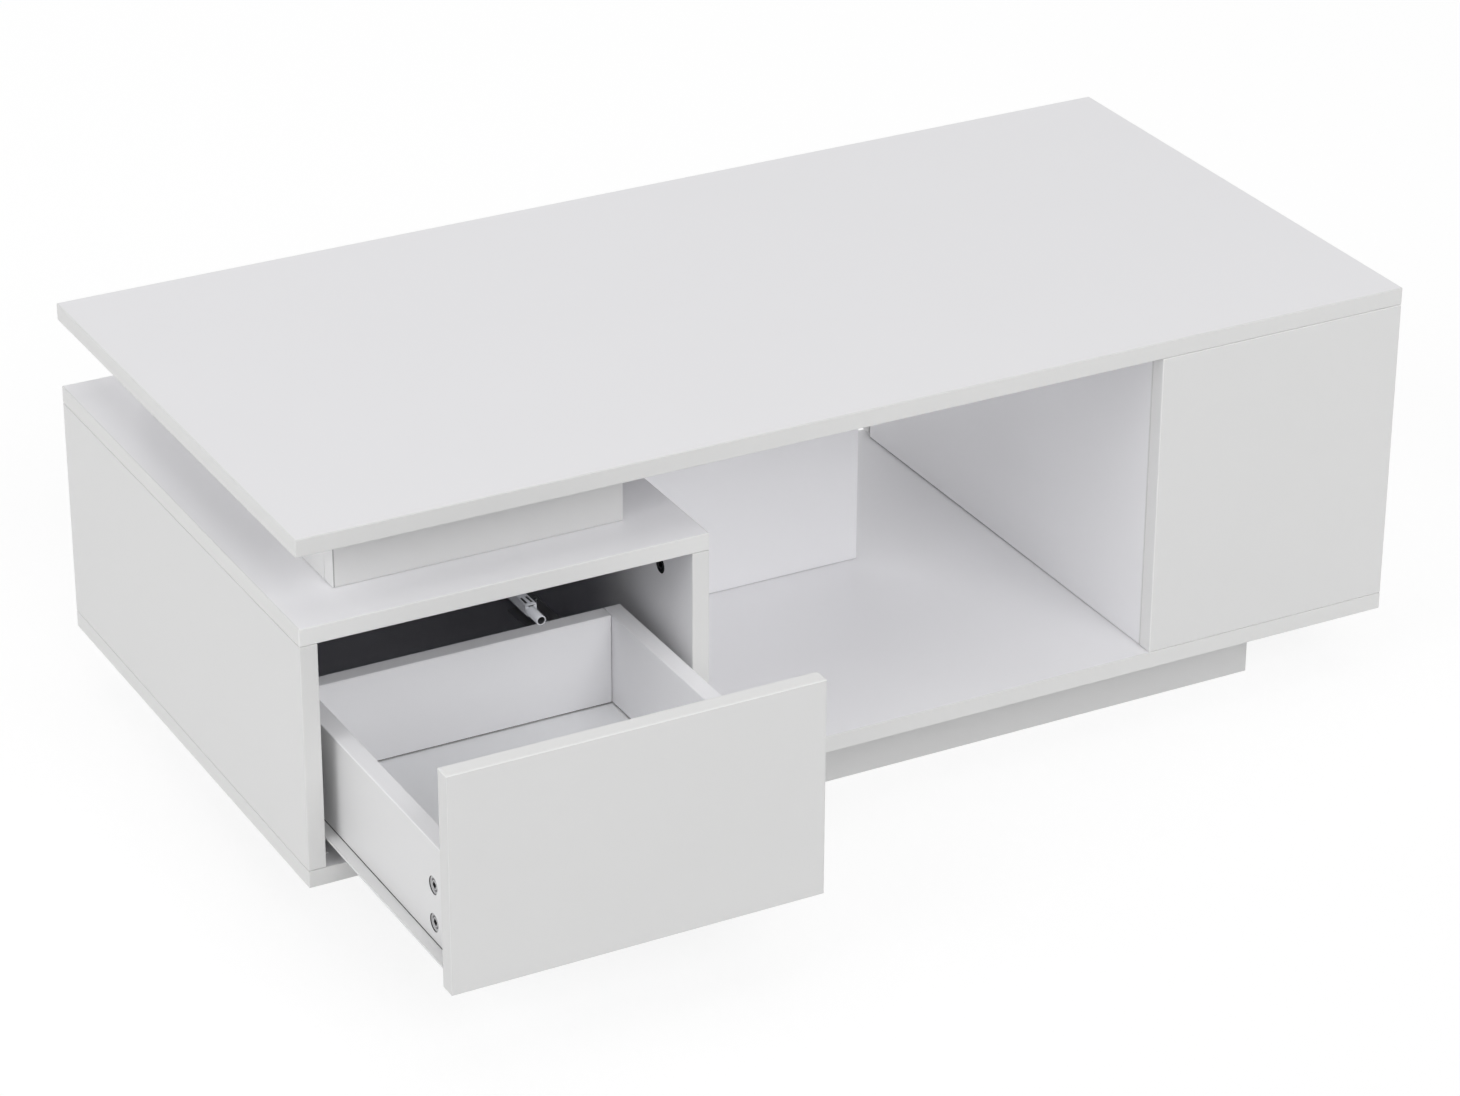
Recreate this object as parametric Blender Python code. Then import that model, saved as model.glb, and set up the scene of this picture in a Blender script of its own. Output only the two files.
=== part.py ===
"""Low rectangular coffee table with two drawers, made of laminated board.

The table top spans a drawer block at the left, an open compartment with a
partition in the middle, and a full-height drawer block at the right. A raised
frame carries the top over the left block, and a set-back plinth carries it all.
The front drawer stands open and the rear drawer is closed. Lengths are in
metres, the front of the table faces -Y and the plinth stands on Z = 0.
"""

from math import cos, pi, sin, tau

import bmesh
import bpy
from mathutils import Vector

# Overall sizes of the table
TABLE_LENGTH = 1.000
TABLE_DEPTH = 0.490
TABLE_HEIGHT = 0.360
BOARD = 0.015              # thickness of every laminated board
EDGE_EASE = 0.0008         # small radius of the banded edges
SEAM = 0.0003              # gap left where two pieces meet

# Plinth, and the raised frame over the left block
PLINTH_HEIGHT = 0.060
PLINTH_END_INSET = 0.100
PLINTH_SIDE_INSET = 0.050
RISER_HEIGHT = 0.060
RISER_INSET = 0.050

# Blocks and partition
LEFT_BLOCK_WIDTH = 0.348
RIGHT_BLOCK_WIDTH = 0.235
PASSAGE_WIDTH = 0.131      # from the partition's free end to the right block
PARTITION_SETBACK = 0.265  # from the front of the table to the partition's face

# Drawer fronts: one stands inside its opening, one laps over the block's sides
INSET_SIDE_GAP = 0.0028
INSET_END_GAP = 0.0050     # above and below the inset front
OVERLAY_SIDE_REVEAL = 0.0010
OVERLAY_END_GAP = 0.0030
OVERLAY_STANDOFF = 0.0030  # between an overlay front and the block's sides
DRAWER_TRAVEL = 0.220      # from closed to the runners' stop

# Drawer boxes
BOX_DEPTH = 0.306          # behind the drawer front
BOX_HEIGHT = 0.098
BOX_LIFT = 0.010           # from the block's floor to the box's lower edge
BOTTOM_RISE = 0.015        # from the box's lower edge to its bottom panel
BOTTOM_PANEL = 0.003
GROOVE_DEPTH = 0.005
GROOVE_PLAY = 0.001        # open part of the groove above the panel, and at its end

# Cam locks
CAM_RADIUS = 0.0072
CAM_BORE_RADIUS = 0.0075
CAM_BORE_DEPTH = 0.0125
CAM_SETBACK = 0.034        # from the end of the board to the cam's centre
CAM_RISE = 0.029           # from the box's lower edge to the lower cam
CAM_SPACING = 0.032
CAM_SLOT_LENGTH = 0.0090
CAM_SLOT_WIDTH = 0.0018
CAM_SLOT_DEPTH = 0.0030
BLOCK_CAM_INSET = 0.055    # block cams, from the front and the back of the table

# Roller runners of pressed steel, one pair for each drawer
RUNNER_SPACE = 0.0125      # between a block's side and the drawer box
RUNNER_LENGTH = 0.300
RUNNER_START = 0.0183      # from the outer plane of the table to the fixed runner
STEEL = 0.0012
FLANGE_TOP = 0.0230        # above the block's floor
FLANGE_CLEARANCE = 0.0025  # between the sliding flange and the block's side
LEG_WIDTH = 0.0115         # part of the sliding runner under the drawer's side
CHANNEL_TOP = 0.0198
CHANNEL_WIDTH = 0.0095
WEB_TOP = 0.0300

# Nylon rollers and their axles
ROLLER_RADIUS = 0.0083
ROLLER_WIDTH = 0.0055
ROLLER_EDGE = 0.0006
ROLLER_BORE = 0.0025
AXLE_RADIUS = 0.0022
AXLE_HEAD_RADIUS = 0.0038
AXLE_HEAD = 0.0007
HEAD_PLAY = 0.0002
FIXED_ROLLER_SETBACK = 0.0090   # from the fixed runner's front end
SLIDING_ROLLER_SETBACK = 0.0103  # from the sliding runner's rear end
NOTCH_PLAY = 0.0010

# Push latches
LATCH_OFFSET = 0.028       # to the right of the opening's middle, seen from outside
LATCH_DROP = 0.027         # from the board above down to the plunger's axis
LATCH_SETBACK = 0.0185     # from the outer plane of the table to the barrel
BARREL_LENGTH = 0.064
BARREL_WIDTH = 0.012
BARREL_BORE = 0.0043
BARREL_END_WALL = 0.003
BARREL_EASE = 0.0006
FOOT_START = 0.028         # from the barrel's mouth to the foot
FOOT_LENGTH = 0.036
FOOT_WIDTH = 0.026
FOOT_THICKNESS = 0.0025
WEB_MARGIN = 0.004         # from the foot's ends to the web between foot and barrel
WEB_THICKNESS = 0.006
SLOT_START = 0.0025        # from the barrel's mouth to its two slots
SLOT_LENGTH = 0.0110
SLOT_WIDTH = 0.0022
SLOT_SPACING = 0.0046
PLUNGER_RADIUS = 0.0040
PLUNGER_LENGTH = 0.0425
PLUNGER_REACH = 0.0175     # out of the barrel when the drawer is open
PLUNGER_TRAVEL = 0.0163
PLUNGER_EDGE = 0.0004
TIP_RECESS_RADIUS = 0.0029
TIP_RECESS_DEPTH = 0.0080
SPRING_BORE = 0.0031
SPRING_BORE_DEPTH = 0.0160
SPRING_RADIUS = 0.0024     # to the middle of the wire
SPRING_WIRE_RADIUS = 0.0003
PUSH_IN = 0.002            # how far a closed front is pushed in to free the latch

CUT_OVERRUN = 0.001        # how far a cutter runs past the face that it opens
ROUND_SIDES = 24
SPRING_COILS = 8
SPRING_COIL_POINTS = 8
EDGE_SEGMENTS = 2

# Levels and outer planes worked out from the sizes above
LEFT = -TABLE_LENGTH / 2
RIGHT = TABLE_LENGTH / 2
FRONT = -TABLE_DEPTH / 2
BACK = TABLE_DEPTH / 2
FLOOR = PLINTH_HEIGHT + BOARD
TOP_UNDERSIDE = TABLE_HEIGHT - BOARD
BLOCK_TOP = TOP_UNDERSIDE - RISER_HEIGHT
BLOCK_UNDERSIDE = BLOCK_TOP - BOARD
LEFT_BLOCK_END = LEFT + LEFT_BLOCK_WIDTH
RIGHT_BLOCK_START = RIGHT - RIGHT_BLOCK_WIDTH


def clear_scene():
    for obj in list(bpy.data.objects):
        bpy.data.objects.remove(obj, do_unlink=True)


def finish(name, colour, roughness, metallic=0.0):
    material = bpy.data.materials.new(name)
    material.use_nodes = True
    shader = material.node_tree.nodes["Principled BSDF"]
    shader.inputs["Base Color"].default_value = (*colour, 1.0)
    shader.inputs["Roughness"].default_value = roughness
    shader.inputs["Metallic"].default_value = metallic
    return material


def place(name, mesh, material, parent=None):
    obj = bpy.data.objects.new(name, mesh)
    bpy.context.scene.collection.objects.link(obj)
    obj.parent = parent
    if material:
        mesh.materials.append(material)
    return obj


def joint_empty(name, location, turn=0.0, parent=None):
    empty = place(name, None, None, parent)
    empty.location = location
    empty.rotation_euler = (0.0, 0.0, turn)
    return empty


def block(name, low, high, material, parent=None):
    """A square-edged solid between two corners, its origin at its middle."""
    low, high = Vector(low), Vector(high)
    mesh = bpy.data.meshes.new(name)
    bm = bmesh.new()
    bmesh.ops.create_cube(bm, size=1.0)
    bmesh.ops.scale(bm, vec=high - low, verts=bm.verts)
    bm.to_mesh(mesh)
    bm.free()
    obj = place(name, mesh, material, parent)
    obj.location = (low + high) / 2
    return obj


def board(name, low, high, material, parent=None):
    """A laminated board with its edges slightly eased."""
    obj = block(name, low, high, material, parent)
    ease = obj.modifiers.new("eased edges", "BEVEL")
    ease.width = EDGE_EASE
    ease.segments = EDGE_SEGMENTS
    return obj


def turned(name, profile, axis, material, parent=None):
    """A round piece: a profile of (along, radius) points spun about its axis."""
    across = Vector((0.0, 0.0, 1.0))
    along = Vector(axis)
    mesh = bpy.data.meshes.new(name)
    bm = bmesh.new()
    verts = [bm.verts.new(along * a + across * r) for a, r in profile]
    edges = [bm.edges.new(pair) for pair in zip(verts, verts[1:])]
    if min(r for a, r in profile) > 0.0:
        edges.append(bm.edges.new((verts[-1], verts[0])))
    bmesh.ops.spin(bm, geom=verts + edges, cent=(0.0, 0.0, 0.0), axis=along,
                   angle=tau, steps=ROUND_SIDES, use_merge=True)
    bmesh.ops.remove_doubles(bm, verts=bm.verts, dist=SEAM / ROUND_SIDES)
    bmesh.ops.recalc_face_normals(bm, faces=bm.faces)
    bm.to_mesh(mesh)
    bm.free()
    mesh.shade_smooth()
    mesh.set_sharp_from_angle(angle=pi / 5)
    return place(name, mesh, material, parent)


def extruded(name, outline, start, end, material, parent=None):
    """A pressed profile: an outline of (x, z) points drawn out along Y."""
    mesh = bpy.data.meshes.new(name)
    bm = bmesh.new()
    face = bm.faces.new([bm.verts.new((x, start, z)) for x, z in outline])
    grown = bmesh.ops.extrude_face_region(bm, geom=[face])["geom"]
    moved = [item for item in grown if isinstance(item, bmesh.types.BMVert)]
    bmesh.ops.translate(bm, verts=moved, vec=(0.0, end - start, 0.0))
    bmesh.ops.recalc_face_normals(bm, faces=bm.faces)
    bm.to_mesh(mesh)
    bm.free()
    return place(name, mesh, material, parent)


def combine(obj, tool, operation):
    """Cut a guide solid out of a piece, or join it on, and hide the guide."""
    step = obj.modifiers.new(operation.lower(), "BOOLEAN")
    step.operation = operation
    step.solver = "EXACT"
    step.object = tool
    tool.hide_render = True
    tool.display_type = "WIRE"


def cut(obj, tool):
    combine(obj, tool, "DIFFERENCE")


def join(obj, tool):
    combine(obj, tool, "UNION")


def rod_profile(start, end, radius):
    return [(start, 0.0), (start, radius), (end, radius), (end, 0.0)]


def make_finishes():
    return {
        "board": finish("white_board", (0.78, 0.78, 0.775), 0.42),
        "bottom": finish("drawer_bottom_panel", (0.76, 0.76, 0.755), 0.50),
        "runner": finish("coated_steel", (0.80, 0.80, 0.79), 0.35),
        "roller": finish("roller_nylon", (0.72, 0.72, 0.70), 0.45),
        "cam": finish("cam_zinc", (0.33, 0.33, 0.34), 0.38, 1.0),
        "latch": finish("latch_plastic", (0.70, 0.70, 0.70), 0.40),
        "spring": finish("spring_steel", (0.45, 0.45, 0.46), 0.30, 1.0),
    }


def build_plinth(white):
    """Four boards on edge under the bottom board, with a brace across the middle."""
    x0, x1 = LEFT + PLINTH_END_INSET, RIGHT - PLINTH_END_INSET
    y0, y1 = FRONT + PLINTH_SIDE_INSET, BACK - PLINTH_SIDE_INSET
    z1 = PLINTH_HEIGHT - SEAM
    board("plinth_front", (x0, y0, 0.0), (x1, y0 + BOARD, z1), white)
    board("plinth_back", (x0, y1 - BOARD, 0.0), (x1, y1, z1), white)
    inner = (y0 + BOARD + SEAM, y1 - BOARD - SEAM)
    middle = -BOARD / 2
    for name, x in (("plinth_left", x0), ("plinth_brace", middle), ("plinth_right", x1 - BOARD)):
        board(name, (x, inner[0], 0.0), (x + BOARD, inner[1], z1), white)


def build_riser(white):
    """The frame of short boards that holds the table top over the left block."""
    x0, x1 = LEFT + RISER_INSET, LEFT_BLOCK_END - RISER_INSET
    y0, y1 = FRONT + RISER_INSET, BACK - RISER_INSET
    z0, z1 = BLOCK_TOP + SEAM, TOP_UNDERSIDE - SEAM
    board("riser_front", (x0, y0, z0), (x1, y0 + BOARD, z1), white)
    board("riser_back", (x0, y1 - BOARD, z0), (x1, y1, z1), white)
    inner = (y0 + BOARD + SEAM, y1 - BOARD - SEAM)
    for name, x in (("riser_left", x0), ("riser_right", x1 - BOARD)):
        board(name, (x, inner[0], z0), (x + BOARD, inner[1], z1), white)


def bore_for_block_cams(side, facing):
    """Cam bores on the inner face of a block side, below the board that it carries."""
    face = side.location.x + facing * BOARD / 2
    height = BLOCK_UNDERSIDE - CAM_SETBACK
    for y in (FRONT + BLOCK_CAM_INSET, BACK - BLOCK_CAM_INSET):
        end = "front" if y < 0.0 else "back"
        profile = rod_profile(-CAM_BORE_DEPTH, CUT_OVERRUN, CAM_BORE_RADIUS)
        tool = turned(side.name + "_bore_" + end, profile, (facing, 0.0, 0.0), None)
        tool.location = (face, y, height)
        cut(side, tool)


def build_left_block(white):
    """The low block that holds the front drawer."""
    z0, z1 = FLOOR + SEAM, BLOCK_UNDERSIDE - SEAM
    board("left_block_top", (LEFT, FRONT, BLOCK_UNDERSIDE), (LEFT_BLOCK_END, BACK, BLOCK_TOP), white)
    outer = board("left_block_outer_side", (LEFT, FRONT, z0), (LEFT + BOARD, BACK, z1), white)
    inner = board("left_block_inner_side", (LEFT_BLOCK_END - BOARD, FRONT, z0),
                  (LEFT_BLOCK_END, BACK, z1), white)
    board("left_block_back", (LEFT + BOARD + SEAM, BACK - BOARD, z0),
          (LEFT_BLOCK_END - BOARD - SEAM, BACK, z1), white)
    bore_for_block_cams(outer, 1.0)
    bore_for_block_cams(inner, -1.0)


def build_right_block(white):
    """The full-height block: closed at the front, its drawer opens to the back."""
    z0, z1 = FLOOR + SEAM, TOP_UNDERSIDE - SEAM
    y0, y1 = FRONT + BOARD + SEAM, BACK - BOARD - OVERLAY_STANDOFF
    board("right_block_front_panel", (RIGHT_BLOCK_START, FRONT, z0), (RIGHT, FRONT + BOARD, z1), white)
    board("right_block_divider", (RIGHT_BLOCK_START, y0, z0), (RIGHT_BLOCK_START + BOARD, y1, z1), white)
    board("right_block_outer_side", (RIGHT - BOARD, y0, z0), (RIGHT, y1, z1), white)


def build_partition(white):
    """The upright board in the open compartment, with a free end at the right."""
    y0 = FRONT + PARTITION_SETBACK
    board("middle_partition", (LEFT_BLOCK_END + SEAM, y0, FLOOR + SEAM),
          (RIGHT_BLOCK_START - PASSAGE_WIDTH, y0 + BOARD, TOP_UNDERSIDE - SEAM), white)


def build_carcass(white):
    board("table_top", (LEFT, FRONT, TOP_UNDERSIDE), (RIGHT, BACK, TABLE_HEIGHT), white)
    board("bottom_board", (LEFT, FRONT, PLINTH_HEIGHT), (RIGHT, BACK, FLOOR), white)
    build_plinth(white)
    build_riser(white)
    build_left_block(white)
    build_right_block(white)
    build_partition(white)


def build_cam_lock(name, location, facing, finishes, parent):
    """A round cam that sits in its bore, flush with the board, with a cross slot."""
    profile = rod_profile(SEAM - CAM_BORE_DEPTH, 0.0, CAM_RADIUS)
    cam = turned(name, profile, (facing, 0.0, 0.0), finishes["cam"], parent)
    cam.location = location
    x, y, z = location
    depth = sorted((x - facing * CAM_SLOT_DEPTH, x + facing * CUT_OVERRUN))
    spans = {"_slot_up": (CAM_SLOT_WIDTH, CAM_SLOT_LENGTH),
             "_slot_across": (CAM_SLOT_LENGTH, CAM_SLOT_WIDTH)}
    for ending, (wide, tall) in spans.items():
        tool = block(name + ending, (depth[0], y - wide / 2, z - tall / 2),
                     (depth[1], y + wide / 2, z + tall / 2), None, parent)
        cut(cam, tool)


def build_axle(runner, location, facing, reach, parent):
    """A riveted axle with a flat head, joined to the web of a pressed runner."""
    head = reach - AXLE_HEAD
    profile = [(-STEEL / 2, 0.0), (-STEEL / 2, AXLE_RADIUS), (head, AXLE_RADIUS),
               (head, AXLE_HEAD_RADIUS), (reach, AXLE_HEAD_RADIUS), (reach, 0.0)]
    axle = turned(runner.name + "_axle", profile, (facing, 0.0, 0.0), None, parent)
    axle.location = location
    join(runner, axle)


def build_roller(name, location, finishes, parent):
    half = ROLLER_WIDTH / 2
    rim = ROLLER_RADIUS - ROLLER_EDGE
    profile = [(-half, ROLLER_BORE), (-half, rim), (ROLLER_EDGE - half, ROLLER_RADIUS),
               (half - ROLLER_EDGE, ROLLER_RADIUS), (half, rim), (half, ROLLER_BORE)]
    roller = turned(name, profile, (1.0, 0.0, 0.0), finishes["roller"], parent)
    roller.location = location


def build_runner_pair(prefix, side, hand, bay_width, bay, drawer, finishes):
    """The fixed runner on the block and the sliding runner under the drawer.

    Sizes across are distances in from the block's side, which hand turns into x.
    """
    def x_at(inward):
        return hand * (bay_width / 2 - inward)

    web = SEAM + STEEL
    fixed_outline = [(SEAM, SEAM), (CHANNEL_WIDTH, SEAM), (CHANNEL_WIDTH, web), (web, web),
                     (web, CHANNEL_TOP - STEEL), (CHANNEL_WIDTH, CHANNEL_TOP - STEEL),
                     (CHANNEL_WIDTH, CHANNEL_TOP), (web, CHANNEL_TOP), (web, WEB_TOP), (SEAM, WEB_TOP)]
    fixed = extruded(prefix + "_fixed_runner_" + side, [(x_at(a), z) for a, z in fixed_outline],
                     RUNNER_START, RUNNER_START + RUNNER_LENGTH, finishes["runner"], bay)

    roller_y = RUNNER_START + FIXED_ROLLER_SETBACK
    roller_z = FLANGE_TOP - STEEL - SEAM - ROLLER_RADIUS
    across = sorted((x_at(web), x_at(CHANNEL_WIDTH + CUT_OVERRUN)))
    notch_low = (across[0], RUNNER_START - CUT_OVERRUN, CHANNEL_TOP - STEEL - CUT_OVERRUN)
    notch_high = (across[1], roller_y + ROLLER_RADIUS + NOTCH_PLAY, CHANNEL_TOP + CUT_OVERRUN)
    cut(fixed, block(fixed.name + "_notch", notch_low, notch_high, None, bay))

    roller_near = web + STEEL
    roller_x = x_at(roller_near + ROLLER_WIDTH / 2)
    reach = roller_near + ROLLER_WIDTH + HEAD_PLAY + AXLE_HEAD - web
    build_axle(fixed, (x_at(web), roller_y, roller_z), -hand, reach, bay)
    build_roller(prefix + "_fixed_roller_" + side, (roller_x, roller_y, roller_z), finishes, bay)

    box_side = RUNNER_SPACE - SEAM
    leg_top = BOX_LIFT - SEAM
    sliding_outline = [(FLANGE_CLEARANCE, FLANGE_TOP), (box_side, FLANGE_TOP), (box_side, leg_top),
                       (RUNNER_SPACE + LEG_WIDTH, leg_top), (RUNNER_SPACE + LEG_WIDTH, leg_top - STEEL),
                       (box_side - STEEL, leg_top - STEEL), (box_side - STEEL, FLANGE_TOP - STEEL),
                       (FLANGE_CLEARANCE, FLANGE_TOP - STEEL)]
    start = BOARD + SEAM
    sliding = extruded(prefix + "_sliding_runner_" + side, [(x_at(a), z) for a, z in sliding_outline],
                       start, start + RUNNER_LENGTH, finishes["runner"], drawer)

    roller_y = start + RUNNER_LENGTH - SLIDING_ROLLER_SETBACK
    roller_z = (SEAM + CHANNEL_TOP) / 2
    head_near = web + SEAM
    roller_x = x_at(head_near + AXLE_HEAD + HEAD_PLAY + ROLLER_WIDTH / 2)
    axle_start = box_side - STEEL
    build_axle(sliding, (x_at(axle_start), roller_y, roller_z), hand, axle_start - head_near, drawer)
    build_roller(prefix + "_sliding_roller_" + side, (roller_x, roller_y, roller_z), finishes, drawer)


def build_drawer_box(prefix, bay_width, front_low, front_high, drawer, finishes):
    """Front, two sides, back and a thin bottom panel held in grooves."""
    white = finishes["board"]
    outer = bay_width / 2 - RUNNER_SPACE
    inner = outer - BOARD
    y0, y1 = BOARD + SEAM, BOARD + BOX_DEPTH
    z0, z1 = BOX_LIFT, BOX_LIFT + BOX_HEIGHT
    panel = z0 + BOTTOM_RISE
    groove = (panel - SEAM, panel + BOTTOM_PANEL + GROOVE_PLAY)
    panel_edge = GROOVE_DEPTH - GROOVE_PLAY

    front = board(prefix + "_front", front_low, front_high, white, drawer)
    tool = block(front.name + "_groove", (-inner - GROOVE_DEPTH, BOARD - GROOVE_DEPTH, groove[0]),
                 (inner + GROOVE_DEPTH, BOARD + CUT_OVERRUN, groove[1]), None, drawer)
    cut(front, tool)

    back = board(prefix + "_back", (SEAM - inner, y1 - BOARD, z0), (inner - SEAM, y1, z1), white, drawer)
    tool = block(back.name + "_groove", (-inner, y1 - BOARD - CUT_OVERRUN, groove[0]),
                 (inner, y1 - BOARD + GROOVE_DEPTH, groove[1]), None, drawer)
    cut(back, tool)

    for side, hand in (("left", -1.0), ("right", 1.0)):
        across = sorted((hand * inner, hand * outer))
        wall = board(prefix + "_side_" + side, (across[0], y0, z0), (across[1], y1, z1), white, drawer)
        across = sorted((hand * (inner - CUT_OVERRUN), hand * (inner + GROOVE_DEPTH)))
        tool = block(wall.name + "_groove", (across[0], y0 - CUT_OVERRUN, groove[0]),
                     (across[1], y1 + CUT_OVERRUN, groove[1]), None, drawer)
        cut(wall, tool)
        for level, rise in (("low", CAM_RISE), ("high", CAM_RISE + CAM_SPACING)):
            spot = (hand * outer, BOARD + CAM_SETBACK, z0 + rise)
            profile = rod_profile(-CAM_BORE_DEPTH, CUT_OVERRUN, CAM_BORE_RADIUS)
            tool = turned(wall.name + "_bore_" + level, profile, (hand, 0.0, 0.0), None, drawer)
            tool.location = spot
            cut(wall, tool)
            build_cam_lock(prefix + "_cam_" + side + "_" + level, spot, hand, finishes, drawer)

    block(prefix + "_bottom", (-inner - panel_edge, BOARD - panel_edge, panel),
          (inner + panel_edge, y1 - BOARD + panel_edge, panel + BOTTOM_PANEL),
          finishes["bottom"], drawer)


def build_latch(prefix, ceiling, pressed, bay, finishes):
    """A push latch: a barrel on a foot, with a sprung plunger that pushes the front out."""
    plastic = finishes["latch"]
    axis_z = ceiling - LATCH_DROP
    half = BARREL_WIDTH / 2
    x, y0 = LATCH_OFFSET, LATCH_SETBACK
    y1 = y0 + BARREL_LENGTH

    body = block(prefix + "_latch_body", (x - half, y0, axis_z - half), (x + half, y1, axis_z + half),
                 plastic, bay)
    ease = body.modifiers.new("eased edges", "BEVEL")
    ease.width = BARREL_EASE
    ease.segments = EDGE_SEGMENTS
    foot_y = y0 + FOOT_START
    foot_top = ceiling - SEAM
    foot_low = foot_top - FOOT_THICKNESS
    foot = block(body.name + "_foot", (x - FOOT_WIDTH / 2, foot_y, foot_low),
                 (x + FOOT_WIDTH / 2, foot_y + FOOT_LENGTH, foot_top), None, bay)
    web_end = foot_y + FOOT_LENGTH - WEB_MARGIN
    web = block(body.name + "_web", (x - WEB_THICKNESS / 2, foot_y + WEB_MARGIN, axis_z),
                (x + WEB_THICKNESS / 2, web_end, foot_low + FOOT_THICKNESS / 2), None, bay)
    join(body, web)
    join(body, foot)
    bore_profile = rod_profile(-CUT_OVERRUN, BARREL_LENGTH - BARREL_END_WALL, BARREL_BORE)
    bore = turned(body.name + "_bore", bore_profile, (0.0, 1.0, 0.0), None, bay)
    bore.location = (x, y0, axis_z)
    cut(body, bore)
    slot_start = y0 + SLOT_START
    slot_top = axis_z + half + CUT_OVERRUN
    for name, hand in (("_slot_left", -1.0), ("_slot_right", 1.0)):
        middle = x + hand * SLOT_SPACING / 2
        slot = block(body.name + name, (middle - SLOT_WIDTH / 2, slot_start, axis_z),
                     (middle + SLOT_WIDTH / 2, slot_start + SLOT_LENGTH, slot_top), None, bay)
        cut(body, slot)

    tip_y = y0 - PLUNGER_REACH + pressed
    slide = joint_empty(prefix + "_latch_slide", (x, tip_y, axis_z), 0.0, bay)
    rim = PLUNGER_RADIUS - PLUNGER_EDGE
    bore_end = PLUNGER_LENGTH - SPRING_BORE_DEPTH
    recess = [(TIP_RECESS_DEPTH, 0.0), (TIP_RECESS_DEPTH, TIP_RECESS_RADIUS), (0.0, TIP_RECESS_RADIUS)]
    outside = [(0.0, rim), (PLUNGER_EDGE, PLUNGER_RADIUS), (PLUNGER_LENGTH, PLUNGER_RADIUS)]
    inside = [(PLUNGER_LENGTH, SPRING_BORE), (bore_end, SPRING_BORE), (bore_end, 0.0)]
    turned(prefix + "_latch_plunger", recess + outside + inside, (0.0, 1.0, 0.0), plastic, slide)

    seat = tip_y + bore_end + SEAM + SPRING_WIRE_RADIUS
    stop = y1 - BARREL_END_WALL - SEAM - SPRING_WIRE_RADIUS
    build_spring(prefix + "_latch_spring", (x, seat, axis_z), stop - seat, bay, finishes)


def build_spring(name, location, length, parent, finishes):
    """A coil spring along Y, wound by a formula."""
    count = SPRING_COILS * SPRING_COIL_POINTS
    curve = bpy.data.curves.new(name, "CURVE")
    curve.dimensions = "3D"
    curve.bevel_depth = SPRING_WIRE_RADIUS
    curve.bevel_resolution = 1
    curve.use_fill_caps = True
    wire = curve.splines.new("POLY")
    wire.points.add(count)
    for index, point in enumerate(wire.points):
        turn = tau * index / SPRING_COIL_POINTS
        along = length * index / count
        point.co = (SPRING_RADIUS * cos(turn), along, SPRING_RADIUS * sin(turn), 1.0)
    curve.materials.append(finishes["spring"])
    spring = place(name, curve, None, parent)
    spring.location = location


def build_drawer_unit(prefix, place_at, turn, bay_width, front_low, front_high, ceiling, opened, finishes):
    """One drawer with its runners, rollers and latch, in the frame of its opening.

    That frame has its origin on the block's floor, at the middle of the opening,
    in the outer plane of the table, and its Y axis points into the block.
    """
    bay = joint_empty(prefix + "_bay", place_at, turn)
    drawer = joint_empty(prefix + "_slide", (0.0, -opened, 0.0), 0.0, bay)
    build_drawer_box(prefix, bay_width, front_low, front_high, drawer, finishes)
    for side, hand in (("left", -1.0), ("right", 1.0)):
        build_runner_pair(prefix, side, hand, bay_width, bay, drawer, finishes)
    closed_share = 1.0 - opened / DRAWER_TRAVEL
    pressed = closed_share * PLUNGER_TRAVEL * DRAWER_TRAVEL / (DRAWER_TRAVEL + PUSH_IN)
    build_latch(prefix, ceiling, pressed, bay, finishes)


def build_front_drawer(finishes):
    """The drawer of the left block, with an inset front, pulled out to its stop."""
    width = LEFT_BLOCK_WIDTH - 2 * BOARD
    height = BLOCK_UNDERSIDE - FLOOR
    half = width / 2 - INSET_SIDE_GAP
    middle = (LEFT + LEFT_BLOCK_END) / 2
    build_drawer_unit("front_drawer", (middle, FRONT, FLOOR), 0.0, width,
                      (-half, 0.0, INSET_END_GAP), (half, BOARD, height - INSET_END_GAP),
                      height, DRAWER_TRAVEL, finishes)


def build_rear_drawer(finishes):
    """The drawer of the right block, with an overlay front at the back, closed."""
    width = RIGHT_BLOCK_WIDTH - 2 * BOARD
    height = TOP_UNDERSIDE - FLOOR
    half = RIGHT_BLOCK_WIDTH / 2 - OVERLAY_SIDE_REVEAL
    middle = (RIGHT_BLOCK_START + RIGHT) / 2
    build_drawer_unit("rear_drawer", (middle, BACK, FLOOR), pi, width,
                      (-half, 0.0, OVERLAY_END_GAP), (half, BOARD, height - OVERLAY_END_GAP),
                      height, 0.0, finishes)


def main():
    clear_scene()
    finishes = make_finishes()
    build_carcass(finishes["board"])
    build_front_drawer(finishes)
    build_rear_drawer(finishes)


main()
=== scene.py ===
from math import pi, radians

import bmesh
import bpy
from mathutils import Matrix, Vector


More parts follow.
